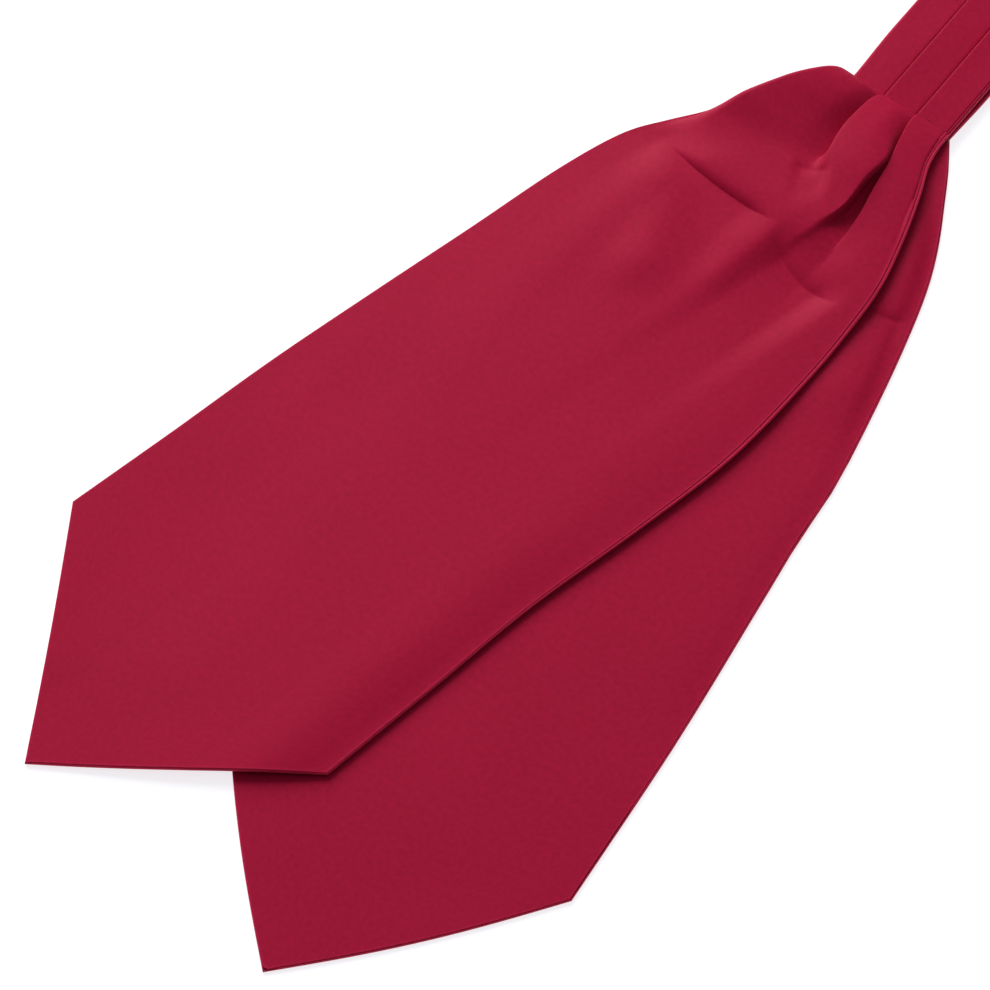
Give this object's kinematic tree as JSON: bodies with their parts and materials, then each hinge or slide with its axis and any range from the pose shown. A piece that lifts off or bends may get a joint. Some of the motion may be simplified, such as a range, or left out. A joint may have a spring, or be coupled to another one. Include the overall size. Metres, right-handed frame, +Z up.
{
  "type": "silk cravat",
  "caption": "Satin day cravat lying flat, folded in half at its knife-pleated neckband, with a wide pointed blade over another.",
  "frame": {"origin": "centre of the bounding box in plan, on the surface the cravat lies on", "axes": "+Z up, +Y along the neckband away from the pointed blades, +X to the side the back blade fans out to"},
  "size_m": [0.2558, 0.6038, 0.0174],
  "materials": {
    "satin": "fine silk satin, soft sheen"
  },
  "bodies": {
    "root": {"front_blade_face": "satin", "front_blade_backing": "satin", "back_blade_face": "satin", "back_blade_backing": "satin", "neckband": "satin"}
  },
  "joints": []
}
